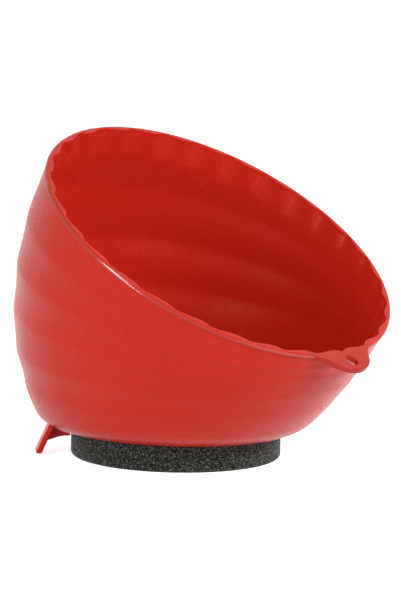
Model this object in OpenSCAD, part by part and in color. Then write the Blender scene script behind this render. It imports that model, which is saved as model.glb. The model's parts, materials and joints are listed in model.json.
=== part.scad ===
// Magnetic parts tray: a moulded bowl with a slanted mouth that turns on a round magnet foot.
// The origin is the centre of the foot's underside, +Z is up, and the hanging tab points to -Y.

/* [Bowl] */
// Radius of the egg-shaped wall at the mouth
mouth_r = 72.6; // [68:0.2:78]
// How far the wall's lower edge, before it is rounded, stands out past the rubber boot on each side
wall_out = 6.7; // [5.5:0.1:9]
// Tilt of the mouth towards the tab
mouth_tilt = 31.7; // [26:0.1:34]
// Height of the mouth's centre above the surface that the tray stands on
mouth_h = 87.5; // [83:0.1:93]
// How far the middle of the wall's lower edge lies behind the foot's axis
wall_back = 2.45; // [1.5:0.05:3.5]
// Thickness of the moulded wall
wall = 2.6; // [2.2:0.1:3]
// Thickness of the bowl's floor
floor_t = 2.8; // [2.2:0.1:3.4]
// Radius of the rounded edge between the wall and the underside
chine_r = 5; // [3.5:0.1:6]
// Depth of the deepest hollow between two wave ribs, at the rear
wave_depth = 0.8; // [0.4:0.1:1.2]
// Share of the waves' depth that is lost on the way round to the tab
wave_fade_share = 0.5; // [0:0.05:0.8]

/* [Rim] */
// Height of the bead round the outside of the mouth
lip_h = 2.4; // [1.8:0.1:3]
// How far the bead stands out from the wall
lip_out = 0.5; // [0.3:0.1:0.8]
// Radius of the bead's upper outer edge
lip_round = 0.6; // [0.4:0.1:0.8]
// Number of scallops round the inner edge of the mouth
flutes = 32; // [28:1:36]
// Depth of the grooves between the scallops
flute_depth = 1.3; // [0.8:0.1:1.6]
// How far the grooves run down the inner wall before they fade out
flute_len = 11; // [8:0.5:16]

/* [Hanging tab] */
// Thickness of the tab
tab_t = 2; // [1.6:0.1:2.2]
// Radius of the tab's rounded end
tab_r = 13.2; // [11:0.1:15]
// How far the tab's outermost point stands out past the wall at the mouth
tab_out = 9.6; // [8.8:0.1:12]
// Radius of the hollow curves that lead the tab into the rim
tab_blend_r = 20; // [15:0.5:26]
// Diameter of the hanging hole
tab_hole_d = 5.2; // [4:0.1:5.4]
// How far the hanging hole's centre stands out past the wall at the mouth
tab_hole_out = 4.1; // [4:0.1:4.8]

/* [Pry feet] */
// Angle of each pry foot from the rear of the tray
foot_angle = 45; // [36:1:52]
// How far the tip of a pry foot stands out past the rubber boot
foot_out = 14; // [13:0.1:16]
// Clearance between a pry foot's tip and the surface
foot_lift = 0.8; // [0.5:0.1:1.5]
// Width of the strip
foot_w = 10; // [7:0.5:12]
// Thickness of the strip
foot_t = 2.2; // [1.8:0.1:2.6]
// Lean of the strip from upright
foot_lean = 24; // [20:1:28]
// Thickness of the web that stiffens the strip
web_t = 1.6; // [1.2:0.1:2.2]
// Height of the web's lower edge where it meets the strip
web_low = 4.4; // [4:0.1:5]
// Height of the web's lower edge beside the magnet foot
web_high = 7.2; // [6.8:0.1:7.6]

/* [Magnet foot] */
// Radius of the rubber boot
boot_r = 41; // [40:0.1:42]
// Thickness of the boot's sole under the magnet
sole_t = 1.4; // [1:0.1:1.8]
// Radius of the boot's lower edge
boot_round = 1.4; // [0.8:0.1:2]
// Thickness of the boot's side wall
boot_wall = 2.4; // [2:0.1:2.8]
// Thickness of the boot's lip over the top plate
boot_lip_t = 0.8; // [0.6:0.1:0.9]
// Width of the boot's lip over the top plate
boot_lip_w = 1.4; // [1:0.1:1.8]
// Thickness of the ring magnet
magnet_t = 7; // [6.2:0.1:7.4]
// Radius of the hole through the ring magnet
magnet_bore_r = 17; // [15:0.5:19]
// Chamfer on the magnet's edges
magnet_chamfer = 0.5; // [0.3:0.1:0.8]
// Thickness of the steel plate on the magnet
plate_t = 1.2; // [1:0.1:1.3]
// Thickness of the ring that the bowl slides on
slip_t = 1.2; // [1.1:0.1:1.4]
// Width of the ring that the bowl slides on
slip_w = 14; // [8:0.5:18]

/* [Pivot] */
// Outer radius of the bush that the bowl turns on
bush_r = 6; // [5:0.1:7]
// Radius of the bush's reduced end in the top plate
bush_spigot_r = 4.6; // [4.2:0.1:4.8]
// Running clearance between the bush and the bowl, on the radius
running_gap = 0.08; // [0.04:0.01:0.1]
// Thickness of the web in the bowl's boss that the bush passes through
boss_web_t = 4; // [3.6:0.1:5]
// Outer radius of the bowl's centre boss
boss_r = 17; // [16:0.5:20]
// Radius of the pocket in the boss that holds the nut
pocket_r = 13; // [12.5:0.1:14]
// Height of the boss above the web
boss_rise = 10; // [9.2:0.1:12]
// Diameter of the screw's thread
screw_d = 5; // [4.5:0.1:5]
// Length of the screw under its head
screw_len = 16; // [15.8:0.1:16.6]
// Diameter of the screw's head
screw_head_d = 9.5; // [9:0.1:10]
// Height of the screw's head
screw_head_h = 3; // [2.6:0.1:3.1]
// Width across the flats of the lock nut
nut_af = 8; // [8:0.1:9]
// Height of the lock nut's hexagon
nut_hex_h = 3.5; // [3:0.1:4]
// Height of the lock nut's round collar
nut_collar_h = 1.2; // [1:0.1:1.6]
// Thickness of the flat washers
washer_t = 1; // [0.8:0.1:1.2]
// Outer radius of the flat washers
washer_r = 10; // [9:0.1:11.5]
// Thickness of the disc spring
spring_t = 0.6; // [0.4:0.1:0.7]
// Height of the disc spring's cone, without its thickness
spring_rise = 0.4; // [0.3:0.1:0.6]
// Outer radius of the disc spring
spring_r = 11; // [10:0.1:12]
// Radius of the cap over the boss
cap_r = 16; // [15:0.1:17]
// Thickness of the cap's plate
cap_t = 1.6; // [1.4:0.1:2]
// Depth of the cap's skirt in the pocket
cap_skirt = 2.2; // [1.8:0.1:2.6]

/* [Hidden] */

bowl_red = "firebrick";
rubber_black = "dimgray";
ferrite_grey = "slategray";
plated_steel = "silver";
nylon_white = "whitesmoke";
nylon_blue = "royalblue";

// The number of facets of round parts, and of the ring of columns that the bowl's wall is made from
$fn = 96;
columns_per_flute = 3;
columns = flutes * columns_per_flute;
// Overrun of a cut past the face that it opens
overcut = 1;
// Gap between pieces that are assembled by hand
loose_gap = 0.2;
// Gap left for glue, or for a snap fit
snug_gap = 0.1;

// The levels of the stacked pieces, from the surface up
magnet_top = sole_t + magnet_t;
plate_top = magnet_top + plate_t;
boot_h = plate_top + boot_lip_t;
underside_h = plate_top + slip_t;
floor_h = underside_h + floor_t;
web_top = underside_h + boss_web_t;
bush_top = web_top + spring_t + spring_rise;
washer_top = bush_top + washer_t;
nut_top = washer_top + nut_hex_h + nut_collar_h;
boss_top = web_top + boss_rise;
screw_tip = nut_top + snug_gap * 3;
screw_head_top = screw_tip - screw_len;
clamp_top = screw_head_top + washer_t;

// The egg's drop from the mouth's centre to its lowest point, which leaves the wall wide enough for the boot
wall_low_share = (boot_r + wall_out) / mouth_r;
egg_drop = (mouth_h - underside_h) / sqrt(1 - wall_low_share * wall_low_share);
// Distance from the mouth's centre to the egg's far tip
egg_depth = sqrt(egg_drop * egg_drop - pow(mouth_r * sin(mouth_tilt), 2)) / cos(mouth_tilt);
// Level sections of the tilted egg have their centres on a line that leans back by this share of its drop
egg_lean_share = (egg_depth * egg_depth - mouth_r * mouth_r) * sin(mouth_tilt) * cos(mouth_tilt)
    / (egg_drop * egg_drop);
// Distance of the mouth's centre in front of the foot's axis, which leaves the lower edge round the foot
mouth_forward = (mouth_h - underside_h) * egg_lean_share - wall_back;

// The mouth's frame: its centre, the axis that points out of the bowl, and the way to the tab
mouth_centre = [0, -mouth_forward, mouth_h];
mouth_axis = [0, -sin(mouth_tilt), cos(mouth_tilt)];
mouth_front = [0, -cos(mouth_tilt), -sin(mouth_tilt)];
side = [1, 0, 0];
underside_centre = [0, wall_back, underside_h];
collar_centre = mouth_centre - lip_h * mouth_axis;
wall_rise = collar_centre.z - underside_centre.z;

// The wall is a fan of plane sections, level at the underside and parallel to the mouth at the rim.
// A section's share is 0 at the underside and 1 at the foot of the rim's bead.
fan_power = 1.8;
floor_share = floor_t / wall_rise;
chine_share = chine_r / wall_rise;
// The wave ribs: the share of the lowest crest, the step from one to the next, and each hollow's depth
first_crest_share = 0.177;
crest_step_share = 0.165;
hollow_depth_shares = [1, 0.5, 0.9, 0.65, 0.35];
rows_per_wave = 4;
wave_rows = rows_per_wave * len(hollow_depth_shares);

function section_tilt(s) = mouth_tilt * pow(max(0, s - floor_share) / (1 - floor_share), fan_power);
function section_centre(s) = underside_centre + s * (collar_centre - underside_centre);
function section_ray(s, a) =
    let (t = section_tilt(s))
    cos(a) * [0, -cos(t), -sin(t)] + sin(a) * side;

// The product of two vectors in the metric where an egg of radius r and depth d is the unit sphere
function egg_product(p, q, r, d) =
    let (along = (p * mouth_axis) * (q * mouth_axis))
    (p * q - along) / (r * r) + along / (d * d);

// The distance from p, measured from the mouth's centre, along u to the egg's surface
function egg_distance(p, u, r, d) =
    let (a = egg_product(u, u, r, d))
    let (b = egg_product(p, u, r, d))
    let (c = egg_product(p, p, r, d) - 1)
    (sqrt(b * b - a * c) - b) / a;

// How far the wave ribs draw the wall in at a section's share and a column angle
function wave(s, a) =
    let (k = (s - first_crest_share) / crest_step_share)
    let (i = floor(k))
    i < 0 || i >= len(hollow_depth_shares) ? 0
    : wave_depth * (1 - wave_fade_share * (1 + cos(a)) / 2)
    * hollow_depth_shares[i] * pow(sin(180 * (k - i)), 1.5);

// How far the rounded lower edge draws the wall in, above a level that lies at share s0
function chine(s, s0) =
    let (k = 1 - min(1, (s - s0) / chine_share))
    chine_r * (1 - sqrt(1 - k * k));

// How far the groove between two scallops goes into the wall, at column angle a and a depth below the mouth
function groove(a, depth) =
    let (phase = a * flutes / 360)
    let (fade = max(0, 1 - depth / flute_len))
    flute_depth * fade * (1 - sqrt(abs(sin(180 * phase))));

function column_angle(i) = 360 * i / columns;

function outer_ring(s) = [
    for (i = [0:columns - 1])
        let (a = column_angle(i))
        let (u = section_ray(s, a))
        let (c = section_centre(s))
        c + (egg_distance(c - mouth_centre, u, mouth_r, egg_depth) - wave(s, a) - chine(s, 0)) * u
];

function inner_ring(s) = [
    for (i = [0:columns - 1])
        let (a = column_angle(i))
        let (u = section_ray(s, a))
        let (c = section_centre(s))
        let (reach = egg_distance(c - mouth_centre, u, mouth_r - wall, egg_depth - wall) - wave(s, a))
        let (depth = (mouth_centre - c - reach * u) * mouth_axis)
        c + (reach - chine(s, floor_share) + groove(a, depth)) * u
];

// A ring parallel to the mouth, depth below it, that stands out from the wall's mouth radius
function lip_ring(depth, out) = [
    for (i = [0:columns - 1])
        mouth_centre - depth * mouth_axis
        + (mouth_r + out) * (cos(column_angle(i)) * mouth_front + sin(column_angle(i)) * side)
];

function scalloped_ring(depth) = [
    for (i = [0:columns - 1])
        let (a = column_angle(i))
        mouth_centre - depth * mouth_axis
        + (mouth_r - wall + groove(a, depth)) * (cos(a) * mouth_front + sin(a) * side)
];

chine_step_shares = [0, 0.12, 0.4, 1];
outer_shares = concat(
    chine_share * chine_step_shares,
    [for (i = [0:wave_rows]) first_crest_share + i * crest_step_share / rows_per_wave]
);
inner_shares = concat(
    [for (k = chine_step_shares) floor_share + chine_share * k],
    [for (i = [0:wave_rows]) first_crest_share + i * crest_step_share / rows_per_wave]
);
wall_rings = concat(
    [for (s = outer_shares) outer_ring(s)],
    [
        lip_ring(lip_h, 0),
        lip_ring(lip_h, lip_out),
        lip_ring(lip_round, lip_out),
        lip_ring(lip_round * (1 - sin(45)), lip_out - lip_round * (1 - cos(45))),
        lip_ring(0, lip_out - lip_round),
        scalloped_ring(0),
        scalloped_ring(lip_h)
    ],
    [for (i = [len(inner_shares) - 1:-1:0]) inner_ring(inner_shares[i])]
);

module bowl_shell() {
    rings = len(wall_rings);
    polyhedron(
        points = [for (ring = wall_rings) each ring],
        faces = concat(
            [[for (i = [0:columns - 1]) i]],
            [
                for (j = [0:rings - 2])
                    for (i = [0:columns - 1])
                        let (k = (i + 1) % columns)
                        [j * columns + i, (j + 1) * columns + i, (j + 1) * columns + k, j * columns + k]
            ],
            [[for (i = [columns - 1:-1:0]) (rings - 1) * columns + i]]
        )
    );
}

// The mouth's frame as a placement: +X leads to the tab and +Z points out of the bowl
module in_mouth_frame() {
    translate(mouth_centre)
        rotate([mouth_tilt, 0, 0])
            rotate([0, 0, -90])
                children();
}

tab_centre = mouth_r + tab_out - tab_r;
// The hollow curves touch both the round end and the rim, so their centres are known from three sides
blend_rim = mouth_r + lip_out + tab_blend_r;
blend_end = tab_r + tab_blend_r;
blend_x = (blend_rim * blend_rim - blend_end * blend_end + tab_centre * tab_centre) / (2 * tab_centre);
blend_y = sqrt(blend_rim * blend_rim - blend_x * blend_x);
// They start a little way along from the rim, so that the tab's corners keep some thickness
tab_corner_share = 0.2;
tab_steps = 10;
end_angle = atan2(blend_y, blend_x - tab_centre);
rim_angle = atan2(blend_y, blend_x);
blend_from = 180 + rim_angle + tab_corner_share * (end_angle - rim_angle);
blend_to = 180 + end_angle;
tab_drop = snug_gap;

// Half of the tab's edge, from its corner at the rim to just before the outermost point
half_tab = concat(
    [
        for (i = [0:tab_steps - 1])
            let (a = blend_from + (blend_to - blend_from) * i / tab_steps)
            [blend_x + tab_blend_r * cos(a), blend_y + tab_blend_r * sin(a)]
    ],
    [
        for (i = [0:tab_steps - 1])
            let (a = end_angle * (1 - i / tab_steps))
            [tab_centre + tab_r * cos(a), tab_r * sin(a)]
    ]
);

module tab_outline() {
    difference() {
        polygon(concat(
            half_tab,
            [[tab_centre + tab_r, 0]],
            [for (i = [len(half_tab) - 1:-1:0]) [half_tab[i].x, -half_tab[i].y]]
        ));
        circle(r = mouth_r + lip_out, $fn = columns);
        translate([mouth_r + tab_hole_out, 0]) circle(d = tab_hole_d);
    }
}

// The tab is moulded in one piece with the bowl: it is a node of its own, flush on the bead's outer face
module hanging_tab() {
    color(bowl_red) in_mouth_frame()
        translate([0, 0, -tab_t - tab_drop])
            linear_extrude(tab_t)
                tab_outline();
}

// A pry foot, drawn with +X leading outwards: a leaning strip and the thin web behind it. The strip ends
// inside the rounded corner between the wall and the floor, at this share of the floor's thickness.
foot_reach = boot_r + foot_out;
foot_root_share = 0.8;
foot_top = underside_h + foot_root_share * floor_t;
foot_run = (foot_top - foot_lift) * tan(foot_lean);
foot_t_level = foot_t / cos(foot_lean);
web_head = underside_h + floor_t / 2;
web_head_run = (web_head - foot_lift) * tan(foot_lean);
web_root = boot_r + loose_gap * 2;
web_join = foot_reach - (web_low - foot_lift) * tan(foot_lean) - foot_t_level / 2;
web_sag = web_t / 4;

module pry_foot() {
    rotate([90, 0, 0]) {
        translate([0, 0, -foot_w / 2])
            linear_extrude(foot_w)
                polygon([
                    [foot_reach, foot_lift],
                    [foot_reach - foot_run, foot_top],
                    [foot_reach - foot_run - foot_t_level, foot_top],
                    [foot_reach - foot_t_level, foot_lift]
                ]);
        translate([0, 0, -web_t / 2])
            linear_extrude(web_t)
                polygon(concat(
                    [[web_root, web_head], [foot_reach - web_head_run - foot_t_level / 2, web_head]],
                    [
                        for (k = [1:-0.125:0])
                            [
                                web_root + k * (web_join - web_root),
                                web_high + k * k * (web_low - web_high) + web_sag * k * (1 - k)
                            ]
                    ]
                ));
    }
}

module bowl() {
    color(bowl_red) difference() {
        union() {
            bowl_shell();
            for (a = [90 - foot_angle, 90 + foot_angle]) rotate([0, 0, a]) pry_foot();
            translate([0, 0, floor_h - floor_t / 2]) cylinder(r = boss_r, h = boss_top - floor_h + floor_t / 2);
        }
        translate([0, 0, underside_h - overcut])
            cylinder(r = bush_r + running_gap, h = boss_web_t + 2 * overcut);
        translate([0, 0, web_top]) cylinder(r = pocket_r, h = boss_rise + overcut);
    }
}

module centre_cap() {
    skirt_r = pocket_r - snug_gap;
    color(bowl_red) translate([0, 0, boss_top]) difference() {
        union() {
            cylinder(r1 = cap_r, r2 = cap_r - cap_t / 2, h = cap_t);
            translate([0, 0, -cap_skirt]) cylinder(r = skirt_r, h = cap_skirt + cap_t / 2);
        }
        translate([0, 0, -cap_skirt - overcut]) cylinder(r = skirt_r - cap_t, h = cap_skirt + overcut);
    }
}

magnet_r = boot_r - boot_wall - snug_gap;

module base_boot() {
    color(rubber_black) rotate_extrude() difference() {
        union() {
            square([boot_r - boot_round, boot_h]);
            translate([0, boot_round]) square([boot_r, boot_h - boot_round]);
            translate([boot_r - boot_round, boot_round]) circle(r = boot_round);
        }
        translate([-overcut, -boot_round - overcut]) square([overcut, boot_h + boot_round + 2 * overcut]);
        translate([-overcut, sole_t]) square([boot_r - boot_wall + overcut, boot_h - sole_t - boot_lip_t]);
        translate([-overcut, sole_t]) square([boot_r - boot_wall - boot_lip_w + overcut, boot_h]);
    }
}

module ring_magnet() {
    c = magnet_chamfer;
    color(ferrite_grey) translate([0, 0, sole_t]) rotate_extrude() polygon([
        [magnet_bore_r + c, 0],
        [magnet_r - c, 0],
        [magnet_r, c],
        [magnet_r, magnet_t - c],
        [magnet_r - c, magnet_t],
        [magnet_bore_r + c, magnet_t],
        [magnet_bore_r, magnet_t - c],
        [magnet_bore_r, c]
    ]);
}

module top_plate() {
    color(plated_steel) translate([0, 0, magnet_top]) difference() {
        cylinder(r = magnet_r, h = plate_t);
        translate([0, 0, -overcut]) cylinder(r = bush_spigot_r, h = plate_t + 2 * overcut);
    }
}

module hub_core() {
    color(nylon_white) difference() {
        translate([0, 0, sole_t]) cylinder(r = magnet_bore_r - snug_gap, h = magnet_t);
        translate([0, 0, sole_t - overcut]) cylinder(d = screw_d + loose_gap, h = magnet_t + 2 * overcut);
        translate([0, 0, sole_t - overcut])
            cylinder(r = washer_r + loose_gap, h = clamp_top - sole_t + overcut);
    }
}

module slip_ring() {
    slip_r = boot_r - boot_wall - boot_lip_w - loose_gap;
    color(nylon_white) translate([0, 0, plate_top]) difference() {
        cylinder(r = slip_r, h = slip_t);
        translate([0, 0, -overcut]) cylinder(r = slip_r - slip_w, h = slip_t + 2 * overcut);
    }
}

module pivot_bush() {
    color(plated_steel) difference() {
        union() {
            translate([0, 0, plate_top]) cylinder(r = bush_r, h = bush_top - plate_top);
            translate([0, 0, magnet_top]) cylinder(r = bush_spigot_r, h = plate_t);
        }
        translate([0, 0, magnet_top - overcut])
            cylinder(d = screw_d + loose_gap, h = bush_top - magnet_top + 2 * overcut);
    }
}

module washer_at(level, bore) {
    translate([0, 0, level]) difference() {
        cylinder(r = washer_r, h = washer_t);
        translate([0, 0, -overcut]) cylinder(d = bore, h = washer_t + 2 * overcut);
    }
}

module clamp_washer() {
    color(plated_steel) washer_at(screw_head_top, screw_d + loose_gap);
}

module flat_washer() {
    color(plated_steel) washer_at(bush_top, screw_d + loose_gap);
}

// The disc spring is a cone: its outer edge sits on the bowl's web and its inner edge meets the washer
module disc_spring() {
    spring_bore = bush_r + loose_gap;
    color(plated_steel) translate([0, 0, web_top]) rotate_extrude() polygon([
        [spring_bore, spring_rise],
        [spring_r, 0],
        [spring_r, spring_t],
        [spring_bore, spring_rise + spring_t]
    ]);
}

// A pan head with a cross of two slots, and a plain shank that stands for the thread's outer size
module centre_screw() {
    head_low = screw_head_top - screw_head_h;
    slot_w = screw_head_d / 8;
    slot_l = screw_head_d / 2;
    color(plated_steel) difference() {
        union() {
            translate([0, 0, screw_head_top]) cylinder(d = screw_d, h = screw_len);
            translate([0, 0, head_low + screw_head_h / 3]) cylinder(d = screw_head_d, h = screw_head_h * 2 / 3);
            translate([0, 0, head_low]) cylinder(d1 = screw_head_d * 2 / 3, d2 = screw_head_d, h = screw_head_h / 3);
        }
        for (a = [0, 90])
            rotate([0, 0, a])
                translate([-slot_l / 2, -slot_w / 2, head_low - overcut])
                    cube([slot_l, slot_w, screw_head_h / 2 + overcut]);
    }
}

nut_collar_r = nut_af / 2 * 0.94;
insert_r = nut_collar_r - snug_gap * 5;

module lock_nut() {
    color(plated_steel) translate([0, 0, washer_top]) difference() {
        union() {
            cylinder(d = nut_af / cos(30), h = nut_hex_h, $fn = 6);
            translate([0, 0, nut_hex_h]) cylinder(r = nut_collar_r, h = nut_collar_h);
        }
        translate([0, 0, -overcut]) cylinder(d = screw_d, h = nut_hex_h + nut_collar_h + 2 * overcut);
        translate([0, 0, nut_hex_h]) cylinder(r = insert_r, h = nut_collar_h + overcut);
    }
}

module nut_insert() {
    color(nylon_blue) translate([0, 0, washer_top + nut_hex_h]) difference() {
        cylinder(r = insert_r, h = nut_collar_h);
        translate([0, 0, -overcut]) cylinder(d = screw_d, h = nut_collar_h + 2 * overcut);
    }
}

bowl();
hanging_tab();
centre_cap();
base_boot();
ring_magnet();
top_plate();
hub_core();
slip_ring();
pivot_bush();
centre_screw();
clamp_washer();
disc_spring();
flat_washer();
lock_nut();
nut_insert();
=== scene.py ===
"""Magnetic parts tray: a red moulded bowl that turns on a black rubber magnet foot.

The script is laid out as an add-on and run as a script. Sizes are in metres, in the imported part's frame:
the origin is the centre of the foot's underside, +Z is up and the hanging tab points to -Y.
"""

import json
import math

import bpy
import numpy as np
from bpy.props import FloatProperty, FloatVectorProperty, IntProperty, PointerProperty
from bpy.types import Operator, Panel, PropertyGroup
from mathutils import Matrix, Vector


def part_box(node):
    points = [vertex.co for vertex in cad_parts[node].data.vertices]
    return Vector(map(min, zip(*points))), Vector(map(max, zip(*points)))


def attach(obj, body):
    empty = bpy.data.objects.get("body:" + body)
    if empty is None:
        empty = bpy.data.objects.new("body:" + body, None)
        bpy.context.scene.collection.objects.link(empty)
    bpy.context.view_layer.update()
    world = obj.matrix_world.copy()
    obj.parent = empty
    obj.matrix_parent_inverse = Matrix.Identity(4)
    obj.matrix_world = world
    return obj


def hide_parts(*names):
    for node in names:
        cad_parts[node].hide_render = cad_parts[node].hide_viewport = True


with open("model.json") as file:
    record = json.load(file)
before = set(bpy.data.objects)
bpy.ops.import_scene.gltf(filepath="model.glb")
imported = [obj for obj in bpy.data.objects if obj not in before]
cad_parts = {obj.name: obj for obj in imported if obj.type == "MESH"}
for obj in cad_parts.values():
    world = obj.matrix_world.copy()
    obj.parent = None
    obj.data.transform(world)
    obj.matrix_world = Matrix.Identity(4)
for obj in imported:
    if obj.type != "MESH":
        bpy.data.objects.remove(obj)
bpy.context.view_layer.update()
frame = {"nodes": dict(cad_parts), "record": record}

bl_info = {
    "name": "Magnetic parts tray",
    "version": (1, 0, 0),
    "blender": (4, 5, 0),
    "location": "View3D > Sidebar > Parts tray",
    "description": "Builds a slanted parts bowl on its magnet foot, with its finishes, lights and camera",
    "category": "Object",
}

MM = 0.001
HOLE = next(m for m in frame["record"]["mounts"] if m["name"] == "hanging_hole")
BOOT_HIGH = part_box("base_boot")[1]
CAP_LOW, CAP_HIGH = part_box("centre_cap")
SLIP_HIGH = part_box("slip_ring")[1]

# Edges that meet at a larger angle than this are shaded sharp
SHARP_ANGLE = math.radians(38)
# The rows that close a turned piece on its axis stand this far from it
AXIS_GAP = 0.02 * MM
# Points round the cap, the boot and the tab, and rows of points round the bowl's lower edge and up its wall
CAP_COLUMNS = 128
BOOT_COLUMNS = 256
TAB_COLUMNS = 288
CHINE_ROWS = 9
WALL_ROWS = 92

# The bowl's bore: the bush's radius and the running clearance
BORE_R = 6.08 * MM
# The web that the bush passes through, the cap's plate, and how far the plate covers the pocket's edge
BOSS_WEB_T = 4.0 * MM
CAP_T = 1.6 * MM
CAP_OVERLAP = 3.0 * MM
# How far the boss stands out past the cap
BOSS_OUT = 1.0 * MM

# The bead's profile from below: a small corner, a face that is a short piece of a large circle, a fine
# step, and the shoulder where the land starts
BEAD_STEPS = 4
BEAD_CORNER_R = 0.30 * MM
BEAD_CORNER_RISE = 0.40 * MM
BEAD_FACE_R = 8.00 * MM
BEAD_FACE_IN = 7.25 * MM
BEAD_FACE_DROP = 3.05 * MM
BEAD_FACE_TURN = (27, 31)
BEAD_STEP = ((-0.02 * MM, -0.43 * MM), (-0.20 * MM, -0.39 * MM))
SHOULDER_R = 0.32 * MM
# The round between the land and the scalloped inner wall
LAND_EDGE_R = 0.22 * MM

# The land is the flat top of the rim: it starts this far inside the wall's radius. The tab's plate
# reaches this far in under it, and its top face dips by this much over this distance.
LAND_OUT = 0.68 * MM
TAB_ROOT = 0.4 * MM
TAB_DIP = 0.06 * MM
TAB_DIP_REACH = 0.3 * MM
# The tab's lower face lies this much lower than its thickness says
TAB_LOWER = 0.1 * MM

# How polished the parts of the red plastic are, from 0, satin, to 1. The same number also darkens their red
# towards 0.7 of it: a painted shade
BEAD_POLISH_AND_SHADE = 1.0
TAB_EDGE_POLISH_AND_SHADE = 0.8
TAB_POLISH_AND_SHADE = 0.5
LAND_POLISH_AND_SHADE = 0.1

# How far a pry foot's strip reaches up into the bowl's wall, how much lower its web ends, and how far
# the web stays from the boot
STRIP_ROOT = 2.2 * MM
WEB_TOP_DROP = 0.9 * MM
WEB_GAP = 0.4 * MM


def length(name, description, millimetres):
    """A length that the user can change, in Blender's own unit."""
    return FloatProperty(
        name=name, description=description, default=millimetres * MM, unit="LENGTH", precision=5, min=0.0
    )


def angle(name, description, degrees):
    """An angle that the user can change."""
    return FloatProperty(name=name, description=description, default=math.radians(degrees), subtype="ANGLE")


def power(name, watts):
    """The power of a lamp that the user can change."""
    return FloatProperty(
        name=name, description=f"Power of the {name.lower()}", default=watts, unit="POWER", min=0.0
    )


def colour(name, description, rgb):
    """A colour that the user can change."""
    return FloatVectorProperty(
        name=name, description=description, default=rgb, subtype="COLOR", size=3, min=0.0, max=1.0
    )


class TrayBowlSizes(PropertyGroup):
    """The sizes of the bowl's moulding.

    The scallops, the bead and the waves are drawn finer here than in the solids. The other sizes are
    those of the solids.
    """

    mouth_r: length("Mouth radius", "Radius of the egg-shaped wall at the mouth", 72.6)
    wall_out: length("Wall stand-out", "How far the wall's lower edge stands out past the boot", 6.7)
    mouth_tilt: angle("Mouth tilt", "Tilt of the mouth towards the hanging tab", 31.7)
    mouth_h: length("Mouth height", "Height of the mouth's centre above the surface", 87.5)
    wall_back: length("Wall back", "How far the wall's lower edge is centred behind the foot's axis", 2.45)
    wall: length("Wall", "Thickness of the moulded wall", 2.6)
    floor_t: length("Floor", "Thickness of the bowl's floor", 2.8)
    chine_r: length("Lower edge radius", "Radius between the wall and the underside", 5.0)
    wave_depth: length("Wave depth", "Depth of the deepest hollow between two wave ribs, at the rear", 0.8)
    wave_fade: FloatProperty(
        name="Wave fade",
        description="Share of the waves' depth that is lost on the way round to the tab",
        default=0.75,
        subtype="FACTOR",
        min=0.0,
        max=1.0,
    )
    lip_h: length("Bead height", "Height of the bead round the outside of the mouth", 1.5)
    lip_out: length("Bead stand-out", "How far the bead stands out from the wall", 0.5)
    flutes: IntProperty(
        name="Scallops", description="Number of scallops round the inner edge of the mouth", default=30
    )
    flute_depth: length("Groove depth", "Depth of the grooves between the scallops at the mouth", 1.4)
    flute_len: length("Groove length", "How far the grooves run down the inner wall", 10.5)


class TrayTabSizes(PropertyGroup):
    """The sizes of the hanging tab."""

    tab_t: length("Tab thickness", "Thickness of the hanging tab", 2.0)
    tab_r: length("Tab radius", "Radius of the tab's rounded end", 13.2)
    tab_out: length("Tab stand-out", "How far the tab's outermost point stands out past the wall", 9.6)
    blend_r: length("Blend radius", "Radius of the hollow curves that lead the tab into the rim", 20.0)
    edge_r: length("Edge radius", "Rounding of the tab's edges", 0.35)


class TrayPrySizes(PropertyGroup):
    """The sizes of the two pry feet behind the magnet foot."""

    turn: angle("Angle", "Angle of each pry foot from the rear", 45)
    foot_out: length("Reach", "How far the tip stands out past the rubber boot", 14.0)
    lift: length("Lift", "Clearance between the tip and the surface", 0.8)
    width: length("Width", "Width of the strip", 10.0)
    thickness: length("Thickness", "Thickness of the strip", 2.2)
    lean: angle("Lean", "Lean of the strip from upright", 24)
    web_t: length("Web thickness", "Thickness of the web that stiffens the strip", 1.6)
    web_low: length("Web low edge", "Height of the web's lower edge where it meets the strip", 4.4)
    web_high: length("Web high edge", "Height of the web's lower edge beside the boot", 7.2)


class TrayFinish(PropertyGroup):
    """The colours of the finishes."""

    red: colour("Moulded red", "Colour of the bowl's plastic", (0.545, 0.022, 0.012))
    # The creases' near-black is partly the rubber's black and partly a painted shade
    rubber: colour("Rubber black", "Colour of the boot's creases", (0.003, 0.0035, 0.003))
    # The crests' light grey is a painted glint on the raised grain, not the rubber's own colour
    rubber_crest_glint: colour("Rubber crests", "Colour of the boot's raised grain", (0.16, 0.18, 0.158))
    zinc: colour("Zinc", "Colour of the plated steel", (0.55, 0.56, 0.58))
    ferrite: colour("Ferrite", "Colour of the ring magnet", (0.055, 0.055, 0.06))
    nylon: colour("Nylon", "Colour of the hub and the slip ring", (0.68, 0.67, 0.62))
    insert: colour("Insert", "Colour of the lock nut's nylon ring", (0.04, 0.13, 0.45))


class TrayStage(PropertyGroup):
    """Floor, light and camera."""

    floor: colour("Floor", "Colour of the floor", (0.86, 0.86, 0.86))
    world_light: FloatProperty(
        name="World light", description="Strength of the even light", default=0.25, min=0.0
    )
    left_bar: power("Left bar", 3.9)
    left_strip: power("Left strip", 4.0)
    right_softbox: power("Right softbox", 12.4)
    back_softbox: power("Back softbox", 1.5)


# Surfaces: whole arrays of points, one row after another


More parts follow.
